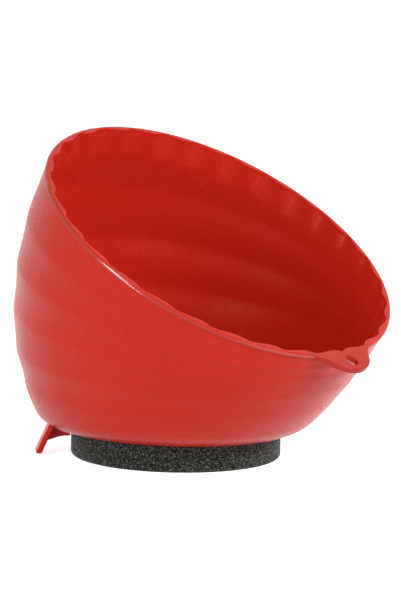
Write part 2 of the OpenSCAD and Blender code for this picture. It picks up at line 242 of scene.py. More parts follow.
def closed_mesh(name, grid, loop=False, marks=None):
    """A mesh over a grid of points (rows, columns, 3) whose columns run round and close.

    With loop the last row joins the first. Otherwise the first and last rows are drawn together to their
    middle point, which closes the ends. Faces are turned so that the volume they enclose is positive.
    """
    rows, columns = grid.shape[:2]
    points = grid.reshape(-1, 3)
    i = np.arange(rows if loop else rows - 1)[:, None]
    j = np.arange(columns)[None, :]
    low, high = i % rows * columns, (i + 1) % rows * columns
    turn = (j + 1) % columns
    quads = np.stack(np.broadcast_arrays(low + j, low + turn, high + turn, high + j), -1).reshape(-1, 4)
    faces = quads.tolist()
    a, b, c, d = (points[quads[:, k]] for k in range(4))
    volume = np.einsum("ij,ij->", a, np.cross(b, c)) + np.einsum("ij,ij->", a, np.cross(c, d))
    if not loop:
        ends = np.stack([grid[0].mean(0), grid[-1].mean(0)])
        points = np.vstack([points, ends])
        first, last = np.arange(columns), (rows - 1) * columns + np.arange(columns)
        fans = [
            np.stack([np.full(columns, len(points) - 2), np.roll(first, -1), first], 1),
            np.stack([np.full(columns, len(points) - 1), last, np.roll(last, -1)], 1),
        ]
        for fan in fans:
            faces += fan.tolist()
            p, q, r = (points[fan[:, k]] for k in range(3))
            volume += np.einsum("ij,ij->", p, np.cross(q, r))
    if volume < 0:
        faces = [face[::-1] for face in faces]
    mesh = bpy.data.meshes.new(name)
    mesh.from_pydata(points.tolist(), [], faces)
    # The marks are stored as the polish attribute, and the red finish darkens with it as a painted shade
    if marks is not None:
        values = np.zeros(len(points), np.float32)
        values[: rows * columns] = marks.ravel()
        layer = mesh.attributes.new("polish", "FLOAT", "POINT")
        layer.data.foreach_set("value", values)
    mesh.polygons.foreach_set("use_smooth", np.ones(len(mesh.polygons), bool))
    mesh.set_sharp_from_angle(angle=SHARP_ANGLE)
    mesh.update()
    piece = bpy.data.objects.new(name, mesh)
    bpy.context.scene.collection.objects.link(piece)
    return piece


def arc(centre, radius, start, stop, steps):
    """Points on a circle in a profile's plane, from one angle to another, both in degrees."""
    t = np.radians(np.linspace(start, stop, steps + 1))
    return np.stack([centre[0] + radius * np.cos(t), centre[1] + radius * np.sin(t)], 1)


def revolve(profile, columns):
    """A profile of (radius, height) turned about the Z axis: the point (r cos a, r sin a, z)."""
    a = 2 * math.pi * np.arange(columns) / columns
    r, z = np.asarray(profile).T
    z = np.broadcast_to(z[:, None], (len(r), columns))
    return np.stack([r[:, None] * np.sin(a), -r[:, None] * np.cos(a), z], -1)


def round_rectangle(half_x, half_y, radius, steps=4):
    """The outline of a rectangle with rounded corners, as two rows of points round its centre.

    Each point is its corner's centre plus a place on a quarter circle. The half sizes may be columns of
    numbers, one for each of many rectangles.
    """
    signs = np.repeat([(1, 1), (-1, 1), (-1, -1), (1, -1)], steps + 1, axis=0).T
    turn = np.concatenate([np.linspace(start, start + 90, steps + 1) for start in (0, 90, 180, 270)])
    x = signs[0] * (half_x - radius) + radius * np.cos(np.radians(turn))
    y = signs[1] * (half_y - radius) + radius * np.sin(np.radians(turn))
    return x, y


class EggBowl:
    """The bowl's wall as a function of a section's share s and a column angle a.

    The wall is an egg, half an ellipsoid turned about the mouth's axis. It is cut by a fan of plane
    sections, level at the underside (s = 0) and parallel to the mouth at the foot of the bead (s = 1).
    A point is the section's centre plus the distance to the egg along the section's ray, less the wave
    and the rounding of the lower edge and, inside, plus the groove.
    """

    # The sections turn from level to the mouth's tilt by their share to this power
    FAN_POWER = 1.8
    # The share of the lowest crest, the step to the next one, and each hollow's part of the full depth
    FIRST_CREST = 0.177
    CREST_STEP = 0.165
    HOLLOWS = (1.0, 0.5, 0.9, 0.65, 0.35)
    # The power of the sine that a hollow's section follows
    RIB_POWER = 1.3
    # The waves are this much deeper on the inner face than on the outer one
    INNER_WAVE = 1.3
    # A scallop is steep on the side that faces the tab: its crest is at a third of its width
    SCALLOP_LEAN = 0.62
    SCALLOP_POWER = 1.8
    # The places of the columns in one scallop, closer together on its steep side
    SCALLOP_COLUMNS = (0.0, 0.03, 0.08, 0.14, 0.21, 0.3, 0.42, 0.56, 0.71, 0.86)

    def __init__(self, sizes):
        self.radius, self.wall, self.tilt = sizes.mouth_r, sizes.wall, sizes.mouth_tilt
        self.wave_depth, self.wave_fade, self.flutes = sizes.wave_depth, sizes.wave_fade, sizes.flutes
        self.flute_depth, self.flute_len = sizes.flute_depth, sizes.flute_len
        self.underside = SLIP_HIGH[2]
        self.floor = self.underside + sizes.floor_t
        sin, cos = math.sin(self.tilt), math.cos(self.tilt)
        self.axis = np.array([0.0, -sin, cos])
        self.front = np.array([0.0, -cos, -sin])
        self.side = np.array([1.0, 0.0, 0.0])
        low_share = (BOOT_HIGH[0] + sizes.wall_out) / self.radius
        drop = (sizes.mouth_h - self.underside) / math.sqrt(1 - low_share**2)
        self.depth = math.sqrt(drop**2 - (self.radius * sin) ** 2) / cos
        lean = (self.depth**2 - self.radius**2) * sin * cos / drop**2
        self.low_centre = np.array([0.0, sizes.wall_back, self.underside])
        self.mouth = self.low_centre + (sizes.mouth_h - self.underside) * np.array([0.0, -lean, 1.0])
        self.high_centre = self.mouth - sizes.lip_h * self.axis
        rise = self.high_centre[2] - self.low_centre[2]
        self.floor_share = sizes.floor_t / rise
        self.chine_r, self.chine_share = sizes.chine_r, sizes.chine_r / rise

    def product(self, p, q, radius, depth):
        """The product of two vectors in the metric where the egg is the unit sphere."""
        along = (p @ self.axis) * (q @ self.axis)
        return ((p * q).sum(-1) - along) / radius**2 + along / depth**2

    def reach(self, p, u, inset):
        """The distance from p along u to the egg that lies inset inside the outer one."""
        radius, depth = self.radius - inset, self.depth - inset
        a = self.product(u, u, radius, depth)
        b = self.product(p, u, radius, depth)
        c = self.product(p, p, radius, depth) - 1
        return (np.sqrt(b * b - a * c) - b) / a

    def wave(self, s, a):
        """How far the wave ribs draw the wall in: a hollow between each two crests, deepest behind.

        A hollow is the sine of the place between its crests, to a power.
        """
        k = (s - self.FIRST_CREST) / self.CREST_STEP
        i = np.floor(k).astype(int)
        inside = (i >= 0) & (i < len(self.HOLLOWS))
        depth = np.array(self.HOLLOWS)[np.clip(i, 0, len(self.HOLLOWS) - 1)]
        fade = 1 - self.wave_fade * (1 + np.cos(a)) / 2
        hollow = np.sin(math.pi * (k - i)) ** self.RIB_POWER
        return np.where(inside, self.wave_depth * fade * depth * hollow, 0.0)

    def chine(self, s, start):
        """How far the quarter round at the lower edge draws the wall in above the share start."""
        k = 1 - np.clip((s - start) / self.chine_share, 0, 1)
        return self.chine_r * (1 - np.sqrt(1 - k * k))

    def groove(self, a, depth):
        """How far the groove between two scallops goes into the wall at a depth below the mouth.

        Its depth is 1 less a leaning hump of the place in the scallop, and it fades out downwards.
        """
        place = np.abs((a + math.pi) % (2 * math.pi) - math.pi) * self.flutes / (2 * math.pi) % 1
        hump = np.abs(np.sin(math.pi * place**self.SCALLOP_LEAN)) ** self.SCALLOP_POWER
        return self.flute_depth * np.clip(1 - depth / self.flute_len, 0, 1) * (1 - hump)

    def columns(self):
        """The column angles, ten to a scallop and the same on both sides of the tab."""
        places = (np.arange(self.flutes // 2)[:, None] + self.SCALLOP_COLUMNS).ravel()
        right = places * 2 * math.pi / self.flutes
        return np.concatenate([right, [math.pi], 2 * math.pi - right[:0:-1]])

    def rays(self, s, a):
        """The centre of each section and the direction of each column in it."""
        above = np.clip(s - self.floor_share, 0, None) / (1 - self.floor_share)
        tilt = self.tilt * above**self.FAN_POWER
        front = np.stack([0 * tilt, -np.cos(tilt), -np.sin(tilt)], -1)
        direction = np.cos(a)[..., None] * front + np.sin(a)[..., None] * self.side
        return self.low_centre + s[..., None] * (self.high_centre - self.low_centre), direction

    def outer(self, s, a):
        """The outer face."""
        s, a = np.broadcast_arrays(s[:, None], a[None, :])
        centre, ray = self.rays(s, a)
        reach = self.reach(centre - self.mouth, ray, 0.0) - self.wave(s, a) - self.chine(s, 0.0)
        return centre + reach[..., None] * ray

    def inner(self, s, a):
        """The inner face."""
        s, a = np.broadcast_arrays(s[:, None], a[None, :])
        centre, ray = self.rays(s, a)
        reach = self.reach(centre - self.mouth, ray, self.wall) - self.INNER_WAVE * self.wave(s, a)
        depth = (self.mouth - centre - reach[..., None] * ray) @ self.axis
        reach = reach - self.chine(s, self.floor_share) + self.groove(a, depth)
        return centre + reach[..., None] * ray

    def rim(self, out, depth, a):
        """Rings parallel to the mouth, out past the wall's radius and a depth below the mouth."""
        radius = self.radius + (out[:, None] if out.ndim == 1 else out)
        ray = np.cos(a)[:, None] * self.front + np.sin(a)[:, None] * self.side
        return self.mouth - depth[:, None, None] * self.axis + radius[..., None] * ray

    def level(self, radius, z, a):
        """A level ring round the foot's axis."""
        x, y = radius * np.sin(a), -radius * np.cos(a)
        return np.stack([x, y, np.full_like(a, z)], -1)[None]


def between(low, high, shares):
    """Rings that lead straight from one ring to another."""
    return low + np.asarray(shares)[:, None, None] * (high - low)


def bowl_surface(sizes, bore_r, pocket_r, boss_r, web_top, boss_top):
    """The whole moulding as one closed surface, and how polished each of its points is, which also sets how
    far a painted shade darkens its red.

    The rows run from the bore out along the underside, up the outer wall, over the bead, down the
    scalloped inner wall, in along the floor, over the boss and down the pocket and the bore again.
    """
    egg = EggBowl(sizes)
    a = egg.columns()
    turn = 1 - np.cos(np.linspace(0, math.pi / 2, CHINE_ROWS))
    wall = np.linspace(0, 1, WALL_ROWS + 1)[1:]
    outer_s = np.concatenate([egg.chine_share * turn, egg.chine_share + wall * (1 - egg.chine_share)])
    inner_low = egg.floor_share + egg.chine_share
    inner_s = np.concatenate([egg.floor_share + egg.chine_share * turn, inner_low + wall * (1 - inner_low)])
    outer, inner = egg.outer(outer_s, a), egg.inner(inner_s, a)

    out, lip = sizes.lip_out, sizes.lip_h
    bead = np.concatenate(
        [
            arc((out - BEAD_CORNER_R, -lip + BEAD_CORNER_RISE), BEAD_CORNER_R, -90, 0, BEAD_STEPS),
            arc((out - BEAD_FACE_IN, -lip - BEAD_FACE_DROP), BEAD_FACE_R, *BEAD_FACE_TURN, BEAD_STEPS),
            BEAD_STEP,
            arc((-LAND_OUT, -SHOULDER_R), SHOULDER_R, 0, 90, 5),
        ]
    )
    bead_rings = egg.rim(bead[:, 0], -bead[:, 1], a)
    face_end = 2 * (BEAD_STEPS + 1)

    # The land's inner edge follows the scallops, with a small round and two more rows below it
    edge = arc((LAND_EDGE_R, -LAND_EDGE_R), LAND_EDGE_R, 90, 180, 4)
    edge = np.concatenate([edge, [[0.0, -0.8 * MM], [0.0, -1.6 * MM]]])
    depths = -edge[:, 1]
    edge_out = (edge[:, 0] - egg.wall)[:, None] + egg.groove(a[None, :], depths[:, None])
    edge_rings = egg.rim(edge_out, depths, a)
    land = between(bead_rings[-1:], edge_rings[:1], [0.12, 0.5, 0.88])

    bore_low = egg.level(bore_r, egg.underside, a)
    foot_r, edge_r, bevel = 1.5 * MM, 0.8 * MM, 0.3 * MM
    boss = np.concatenate(
        [
            arc((boss_r + foot_r, egg.floor + foot_r), foot_r, 270, 180, 4),
            arc((boss_r - edge_r, boss_top - edge_r), edge_r, 0, 90, 4),
            [[pocket_r + bevel, boss_top], [pocket_r, boss_top - bevel], [pocket_r, web_top]],
            [[(pocket_r + bore_r) / 2, web_top], [bore_r, web_top]],
        ]
    )
    boss_rings = np.concatenate([egg.level(r, z, a) for r, z in boss])
    parts = [
        (bore_low, 0),
        (between(bore_low, outer[:1], [0.03, 0.3, 0.6, 0.85, 0.97]), 0),
        (outer, 0),
        # The polish marks also set a painted shade: the bead's red is darkest, the land's only a little
        # darker
        (bead_rings[:face_end], BEAD_POLISH_AND_SHADE),
        (bead_rings[face_end:], LAND_POLISH_AND_SHADE),
        (land, LAND_POLISH_AND_SHADE),
        (edge_rings, 0),
        (inner[::-1], 0),
        (between(inner[:1], boss_rings[:1], [0.03, 0.2, 0.5, 0.8, 0.97]), 0),
        (boss_rings, 0),
        (between(boss_rings[-1:], bore_low, [0.5]), 0),
    ]
    marks = np.concatenate([np.full(rings.shape[:2], mark, np.float32) for rings, mark in parts])
    return np.concatenate([rings for rings, _ in parts]), marks


def tab_edge(tab, egg, angles):
    """The distance from the hanging hole to the tab's edge at each angle round the hole.

    The edge is the round end, the two hollow curves that touch it and the land's outer edge, and an arc
    under the land. It is traced in the mouth's plane and read off as one radius for each direction.
    """
    reach = egg.radius + tab.tab_out - tab.tab_r
    rim, end = egg.radius - LAND_OUT + tab.blend_r, tab.tab_r + tab.blend_r
    x = (rim**2 - end**2 + reach**2) / (2 * reach)
    y = math.sqrt(rim**2 - x**2)
    end_turn = math.degrees(math.atan2(y, x - reach))
    rim_turn = math.degrees(math.atan2(y, x))
    half = np.concatenate(
        [
            arc((0, 0), egg.radius - LAND_OUT - TAB_ROOT, 0, rim_turn, 40),
            arc((x, y), tab.blend_r, 180 + rim_turn, 180 + end_turn, 30),
            arc((reach, 0), tab.tab_r, end_turn, 0, 60),
        ]
    )
    hole = np.array([math.hypot(*(np.array(HOLE["pos_m"]) - egg.mouth)[1:]), 0.0])
    line = np.concatenate([half, half[::-1] * [1, -1]]) - hole
    turn = np.arctan2(line[:, 1], line[:, 0]) % (2 * math.pi)
    order = np.argsort(turn)
    return hole[0], np.interp(angles, turn[order], np.hypot(*line.T)[order], period=2 * math.pi)


def tab_surface(tab, sizes):
    """The tab, a plate round the hanging hole with rounded edges, and how polished its points are, which
    also sets how far a painted shade darkens their red.

    Each row is a closed line a share of the way from the hole's circle to the tab's edge, and the edges
    are quarter circles. Under the land the top face dips, so that the two faces run into each other.
    """
    egg = EggBowl(sizes)
    a = 2 * math.pi * np.arange(TAB_COLUMNS) / TAB_COLUMNS
    hole_at, edge = tab_edge(tab, egg, a)
    hole_r = HOLE["dims"]["r_mm"] * MM
    top, low, r = 0.0, -tab.tab_t - TAB_LOWER, tab.edge_r
    n = 6
    quarter = np.linspace(0, math.pi / 2, n)
    draw, rise = r * (1 - np.cos(quarter)), r * (np.sin(quarter) - 1)
    outer = np.concatenate([edge - draw[:, None], edge - draw[::-1, None]])
    inner = np.concatenate([hole_r + draw[:, None] + 0 * a, hole_r + draw[::-1, None] + 0 * a])
    share = np.array([0.1, 0.3, 0.5, 0.7, 0.9])[:, None]
    rows = np.concatenate(
        [
            inner[:n],
            inner[n - 1] + share * (outer[n - 1] - inner[n - 1]),
            outer[:n][::-1],
            outer[n:][::-1],
            outer[n] + share * (inner[n] - outer[n]),
            inner[n:],
        ]
    )
    high, under = top + rise, low - rise
    flat = np.zeros(len(share))
    z = np.concatenate([high, flat + top, high[::-1], under, flat + low, under[::-1]])
    front, side = hole_at + rows * np.cos(a), rows * np.sin(a)
    under_land = (egg.radius - LAND_OUT - np.hypot(front, side)) / TAB_DIP_REACH
    level = z[:, None] - TAB_DIP * np.clip(under_land, 0, 1)
    # The tab's polish also darkens its red as a painted shade, a little more on its edges
    marks = np.full(rows.shape, TAB_POLISH_AND_SHADE, np.float32)
    edge_row = n + len(share)
    marks[edge_row : edge_row + 2 * n] = TAB_EDGE_POLISH_AND_SHADE
    front, side, level = front[..., None], side[..., None], level[..., None]
    return egg.mouth + front * egg.front + side * egg.side + level * egg.axis, marks


def strip_surface(pry, foot_reach, top):
    """A pry foot's strip: a level rounded rectangle carried up a leaning line and rounded at its foot."""
    half_x = pry.thickness / math.cos(pry.lean) / 2
    round_r = 0.5 * MM
    outline_x, outline_y = round_rectangle(half_x, pry.width / 2, round_r)
    quarter = np.linspace(math.pi / 2, 0, 6)
    straight = np.linspace(pry.lift + round_r * 1.5, top, 8)
    z = np.concatenate([pry.lift + round_r * (1 - np.sin(quarter)), straight])
    draw = np.concatenate([round_r * (1 - np.cos(quarter)), np.zeros(len(straight))])
    lean = foot_reach - half_x - (z - pry.lift) * math.tan(pry.lean)
    x = lean[:, None] + outline_x * (1 - draw / half_x)[:, None]
    y = outline_y * (1 - draw / (pry.width / 2))[:, None]
    return np.stack([x, y, np.broadcast_to(z[:, None], x.shape)], -1)


def web_surface(pry, foot_reach, boot_r, top):
    """A pry foot's web: an upright plate whose lower edge curves from the strip up to the boot.

    Each ring is an upright rounded rectangle, leaning more the nearer it is to the strip, and the lower
    edge is a parabola from the high end beside the boot to the low one.
    """
    k = np.linspace(0, 1, 17)[:, None]
    low = pry.web_high + k * k * (pry.web_low - pry.web_high) + pry.web_t / 4 * k * (1 - k)
    y, z = round_rectangle(pry.web_t / 2, (top - low) / 2, 0.35 * MM, 3)
    z = z + (top + low) / 2
    join = foot_reach - (z - pry.lift) * math.tan(pry.lean) - pry.thickness / math.cos(pry.lean) / 2
    root = boot_r + WEB_GAP
    return np.stack([root + k * (join - root), np.broadcast_to(y, z.shape), z], -1)


def boot_profile(boot_r, boot_h):
    """The boot's closed profile as (radius, height): the sole, the side, the lip and the cavity."""
    sole, wall, lip_t, lip_w = 1.4 * MM, 2.4 * MM, 0.8 * MM, 1.4 * MM
    low_r, top_r = 1.4 * MM, 0.35 * MM
    return np.concatenate(
        [
            [[AXIS_GAP, 0], [boot_r * 0.5, 0], [boot_r - low_r - 0.4 * MM, 0]],
            arc((boot_r - low_r, low_r), low_r, 270, 360, 8),
            [[boot_r, low_r + 0.4 * MM], [boot_r, boot_h / 2], [boot_r, boot_h - top_r - 0.3 * MM]],
            arc((boot_r - top_r, boot_h - top_r), top_r, 0, 90, 5),
            [[boot_r - wall - lip_w, boot_h], [boot_r - wall - lip_w, boot_h - lip_t]],
            [[boot_r - wall, boot_h - lip_t], [boot_r - wall, sole], [AXIS_GAP, sole]],
        ]
    )


def cap_profile(low, high):
    """The cap's closed profile as (radius, height): a plate with a rounded edge, and its snap skirt."""
    r, z = high[0], high[2]
    seat, edge_r, bevel = z - CAP_T, 0.7 * MM, 0.3 * MM
    skirt = r - 3.1 * MM
    inside = skirt - 1.6 * MM
    return np.concatenate(
        [
            [[AXIS_GAP, z], [r - 1.6 * MM, z]],
            arc((r - 1.0 * MM, z - edge_r), edge_r, 90, 18, 6),
            [[r, seat + 0.25 * MM], [r - 0.1 * MM, seat], [skirt, seat], [skirt, low[2] + bevel]],
            [[skirt - bevel, low[2]], [inside, low[2]], [inside, seat], [AXIS_GAP, seat]],
        ]
    )


# Finishes


class Number:
    """A node's output socket: arithmetic on it adds Math nodes."""

    def __init__(self, nodes, socket):
        self.nodes, self.socket = nodes, socket

    def _math(self, operation, first, second, clamp=False):
        settings = {"operation": operation, "use_clamp": clamp}
        return self.nodes.node("ShaderNodeMath", settings, {0: first, 1: second})

    def __add__(self, other):
        return self._math("ADD", self, other)

    def __sub__(self, other):
        return self._math("SUBTRACT", self, other)

    def __rsub__(self, other):
        return self._math("SUBTRACT", other, self)

    def __mul__(self, other):
        return self._math("MULTIPLY", self, other)

    def __pow__(self, other):
        return self._math("POWER", self, other)

    __radd__ = __add__
    __rmul__ = __mul__

    def clamped(self):
        """The number held between 0 and 1."""
        return self._math("ADD", self, 0.0, True)

    def or_more(self, other):
        """The larger of two numbers."""
        return self._math("MAXIMUM", self, other)


class Nodes:
    """A node tree, and the one way in which nodes are added to it."""

    def __init__(self, tree):
        self.tree = tree

    def node(self, kind, settings=None, sockets=None, out=0):
        """Adds a node: first its settings, then its sockets' values or links. Gives one of its outputs."""
        made = self.tree.nodes.new(kind)
        for key, value in (settings or {}).items():
            setattr(made, key, value)
        for key, value in (sockets or {}).items():
            self.put(made.inputs[key], value)
        return Number(self, made.outputs[out]) if made.outputs else None

    def put(self, socket, value):
        """Links an output to a socket, or sets the socket's own value."""
        if isinstance(value, Number):
            self.tree.links.new(value.socket, socket)
        else:
            socket.default_value = value


class Paint(Nodes):
    """One material: its nodes, the coordinates that they read and the shader that they end in."""

    def __init__(self, name):
        self.material = bpy.data.materials.new(name)
        self.material.use_nodes = True
        super().__init__(self.material.node_tree)
        self.shader = self.tree.nodes["Principled BSDF"]
        self.place = self.node("ShaderNodeTexCoord", out="Object")

    def set(self, **sockets):
        """Sets or links sockets of the shader; an underscore in a name stands for a space."""
        for key, value in sockets.items():
            self.put(self.shader.inputs[key.replace("_", " ")], value)

    def noise(self, millimetres, detail=2.0, rough=0.5, out="Fac", place=None):
        """Noise whose grains are about this many millimetres across."""
        sockets = {"Vector": place or self.place, "Scale": 1 / (millimetres * MM)}
        sockets.update({"Detail": detail, "Roughness": rough})
        return self.node("ShaderNodeTexNoise", {}, sockets, out)

    def cells(self, millimetres, feature="F1", place=None):
        """Cells about this many millimetres across."""
        sockets = {"Vector": place or self.place, "Scale": 1 / (millimetres * MM)}
        return self.node("ShaderNodeTexVoronoi", {"feature": feature}, sockets, "Distance")

    def mix(self, factor, first, second):
        """A colour between two others."""
        settings = {"data_type": "RGBA", "clamp_factor": True}
        return self.node("ShaderNodeMix", settings, {0: factor, 6: first, 7: second}, 2)

    def bump(self, height, millimetres, strength=1.0, below=None):
        """A bump whose full height is this many millimetres, on top of another one if given."""
        sockets = {"Height": height, "Distance": millimetres * MM, "Strength": strength}
        if below is not None:
            sockets["Normal"] = below
        return self.node("ShaderNodeBump", {}, sockets)


def rgba(rgb, gain=1.0):
    """A colour with its opacity, made lighter or darker by a gain."""
    return (*[min(1.0, c * gain) for c in rgb], 1.0)


def red_plastic(finish):
    """Polypropylene with a fine spark-eroded grain, which is polished smooth on the bead.

    The piece's polish attribute fades the grain out and brings a thin clear shine in. It also darkens the
    red, to 0.7 of it where the polish is 1: a painted shade.
    """
    paint = Paint("red_moulded_plastic")
    polish = paint.node("ShaderNodeAttribute", {"attribute_name": "polish"}, out="Fac")
    grain = paint.noise(0.85, 3.0, 0.65)
    skin = paint.noise(2.6, 2.0, 0.5)
    cloud = paint.noise(40.0, 2.0, 0.5)
    satin = 1 - polish
    matt = paint.mix((grain * 0.6 + cloud * 0.4).clamped(), rgba(finish.red, 0.87), rgba(finish.red, 1.13))
    paint.set(
        # Polished places get a darker red: a painted shade, not a colour of the plastic
        Base_Color=paint.mix(polish, matt, rgba(finish.red, 0.7)),
        Roughness=0.14 + satin * (0.1 + skin * 0.08),
        Coat_Weight=polish**8 * 0.22,
        Coat_IOR=2.4,
        Coat_Roughness=0.08,
        IOR=1.2,
        Specular_IOR_Level=0.6,
        Normal=paint.bump(grain * satin, 0.09, 1.0, paint.bump(skin * satin, 0.03)),
    )
    return paint.material


def black_rubber(finish):
    """Rubber with a fine leather grain: raised pebbles that shine a little, between dull dark creases. The
    crests' light grey is a painted glint, and the creases' near-black is partly the rubber's black and
    partly a painted shade.

    The pebbles are cells whose places are moved a little by a noise, so that their edges wander.
    """
    paint = Paint("pebbled_rubber")
    wobble = paint.noise(2.0, 1.0, out="Color")
    bent = paint.node("ShaderNodeMix", {"data_type": "VECTOR"}, {0: 0.001, 4: paint.place, 5: wobble}, 1)
    crease = paint.cells(1.05, "DISTANCE_TO_EDGE", bent)
    pebble = (crease * 3.4).clamped() ** 0.8
    fine = paint.noise(0.9, 2.0, 0.6)
    # The crests get the painted glint colour and a lower roughness
    crest = (pebble * (fine * 5.0 - 1.95)).clamped()
    paint.set(
        Base_Color=paint.mix(crest, rgba(finish.rubber), rgba(finish.rubber_crest_glint)),
        Roughness=0.55 - crest * 0.25,
        Normal=paint.bump(pebble, 0.5, 1.0, paint.bump(fine, 0.3)),
        Specular_IOR_Level=0.12,
    )
    return paint.material


def plated_steel(name, tint, grain_mm, rough):
    """Plated or turned steel: a fine grain that blurs the shine a little, and faint stains."""
    paint = Paint(name)
    lay = paint.node("ShaderNodeMapping", {}, {"Vector": paint.place, "Scale": (1.0, 1.0, 12.0)})
    grain = paint.noise(grain_mm, 3.0, place=lay)
    stain = paint.noise(9.0, 2.0)
    paint.set(
        Base_Color=paint.mix(stain, rgba(tint, 0.86), rgba(tint, 1.1)),
        Metallic=1.0,
        Roughness=rough + grain * 0.14,
        Normal=paint.bump(grain, 0.012),
    )
    return paint.material


def ground_ferrite(finish):
    """Ground ferrite: nearly black, with a granular face and a few chipped grains."""
    paint = Paint("ground_ferrite")
    grain, chips = paint.noise(0.25, 3.0, 0.7), paint.cells(2.2)
    paint.set(
        Base_Color=paint.mix(grain, rgba(finish.ferrite, 0.7), rgba(finish.ferrite, 1.5)),
        Roughness=0.5 + grain * 0.2,
        Normal=paint.bump(grain, 0.04, 1.0, paint.bump(chips, 0.03)),
    )
    return paint.material


def moulded_nylon(name, tint):
    """Moulded nylon: slightly cloudy, with a soft waxy surface."""
    paint = Paint(name)
    cloud, skin = paint.noise(6.0, 2.0), paint.noise(0.5, 2.0)
    paint.set(
        Base_Color=paint.mix(cloud, rgba(tint, 0.93), rgba(tint, 1.05)),
        Roughness=0.4 + skin * 0.15,
        Normal=paint.bump(skin, 0.015),
    )
    return paint.material


def dress(piece, body, slot, material, *nodes):
    """Gives a piece its finish and its body, and hides the CAD nodes that it stands for. Its slot argument
    is not used.
    """
    piece.data.materials.append(material)
    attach(piece, body)
    if nodes:
        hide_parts(*nodes)


def red_finish():
    """The red finish, made once and shared by the red pieces."""
    return bpy.data.materials.get("red_moulded_plastic") or red_plastic(bpy.context.scene.tray_finish)


# Operators


class TRAY_OT_bowl(Operator):
    """Builds the bowl: waved egg-shaped wall, bead, scallops, floor and boss"""

    bl_idname = "parts_tray.bowl"
    bl_label = "Bowl"

    def execute(self, context):
        cap_r = CAP_HIGH[0]
        grid, marks = bowl_surface(
            context.scene.tray_bowl,
            bore_r=BORE_R,
            pocket_r=cap_r - CAP_OVERLAP,
            boss_r=cap_r + BOSS_OUT,
            web_top=SLIP_HIGH[2] + BOSS_WEB_T,
            boss_top=CAP_HIGH[2] - CAP_T,
        )
        piece = closed_mesh("bowl_moulding", grid, True, marks)
        dress(piece, "tray", "bowl_plastic", red_finish(), "bowl")
        return {"FINISHED"}


class TRAY_OT_tab(Operator):
    """Builds the hanging tab with its round hole"""

    bl_idname = "parts_tray.tab"
    bl_label = "Hanging tab"

    def execute(self, context):
        grid, marks = tab_surface(context.scene.tray_tab, context.scene.tray_bowl)
        piece = closed_mesh("tab_plate", grid, True, marks)
        dress(piece, "tray", "bowl_plastic", red_finish(), "hanging_tab")
        return {"FINISHED"}


class TRAY_OT_pry_feet(Operator):
    """Builds the two pry feet: a leaning strip each, with its web"""

    bl_idname = "parts_tray.pry_feet"
    bl_label = "Pry feet"

    def execute(self, context):
        pry = context.scene.tray_pry
        reach, top = BOOT_HIGH[0] + pry.foot_out, SLIP_HIGH[2] + STRIP_ROOT
        shapes = {
            "strip": strip_surface(pry, reach, top),
            "web": web_surface(pry, reach, BOOT_HIGH[0], top - WEB_TOP_DROP),
        }
        for side, place in (("left", math.pi / 2 + pry.turn), ("right", math.pi / 2 - pry.turn)):
            turn = np.array(Matrix.Rotation(place, 3, "Z"))
            for part, grid in shapes.items():
                piece = closed_mesh(f"pry_{part}_{side}", grid @ turn.T)
                dress(piece, "tray", "bowl_plastic", red_finish())
        return {"FINISHED"}


class TRAY_OT_cap(Operator):
    """Builds the snap cap over the boss"""

    bl_idname = "parts_tray.cap"
    bl_label = "Centre cap"

    def execute(self, context):
        piece = closed_mesh("boss_cap", revolve(cap_profile(CAP_LOW, CAP_HIGH), CAP_COLUMNS))
        dress(piece, "tray", "cap_plastic", red_finish(), "centre_cap")
        return {"FINISHED"}


class TRAY_OT_boot(Operator):
    """Builds the textured rubber boot of the magnet foot"""

    bl_idname = "parts_tray.boot"
    bl_label = "Rubber boot"

    def execute(self, context):
        profile = boot_profile(BOOT_HIGH[0], BOOT_HIGH[2])
        piece = closed_mesh("rubber_boot", revolve(profile, BOOT_COLUMNS))
        dress(piece, "magnet_foot", "boot_rubber", black_rubber(context.scene.tray_finish), "base_boot")
        return {"FINISHED"}


class TRAY_OT_inside(Operator):
    """Gives the pieces inside the foot and the boss their finishes"""

    bl_idname = "parts_tray.inside"
    bl_label = "Inner pieces"

    def execute(self, context):
        finish = context.scene.tray_finish
        zinc = plated_steel("zinc_plate", finish.zinc, 0.4, 0.28)
        turned = plated_steel("turned_steel", finish.zinc, 0.2, 0.2)
        spring = plated_steel("spring_steel", tuple(0.6 * c for c in finish.zinc), 0.3, 0.3)
        nylon = moulded_nylon("natural_nylon", finish.nylon)
        finishes = {
            "ring_magnet": ground_ferrite(finish),
            "top_plate": zinc,
            "hub_core": nylon,
            "slip_ring": nylon,
            "pivot_bush": turned,
            "centre_screw": zinc,
            "clamp_washer": zinc,
            "disc_spring": spring,
            "flat_washer": zinc,
            "lock_nut": zinc,
            "nut_insert": moulded_nylon("insert_nylon", finish.insert),
        }
        for node, material in finishes.items():
            for place in frame["nodes"][node].material_slots:
                place.material = material
        return {"FINISHED"}


class TRAY_OT_stage(Operator):
    """Builds the pale floor, the lights, the world and the camera"""

    bl_idname = "parts_tray.stage"
    bl_label = "Stage"

    def execute(self, context):
        build_stage(context.scene, context.scene.tray_stage)
        return {"FINISHED"}


# Stage


# Each lamp's azimuth from the front towards +X and its elevation in degrees, its distance and its size
LAMPS = {
    "left_bar": (-83, 30, 1.2, (0.72, 0.12)),
    "left_strip": (-88, 6, 1.2, (0.5, 0.2)),
    "right_softbox": (14, 30, 1.2, (0.65, 0.25)),
    "back_softbox": (165, 50, 1.3, (0.6, 0.6)),
}
# The lamps stand round a point this high, and face one that is a little lower
LAMP_CENTRE_H = 0.07
LAMP_TARGET = (0.0, 0.0, 0.06)

FLOOR_HALF = 6.0
# How much of white the floor adds where it is seen directly, so that it clips to white but for the shadow
FLOOR_LIFT = 0.82


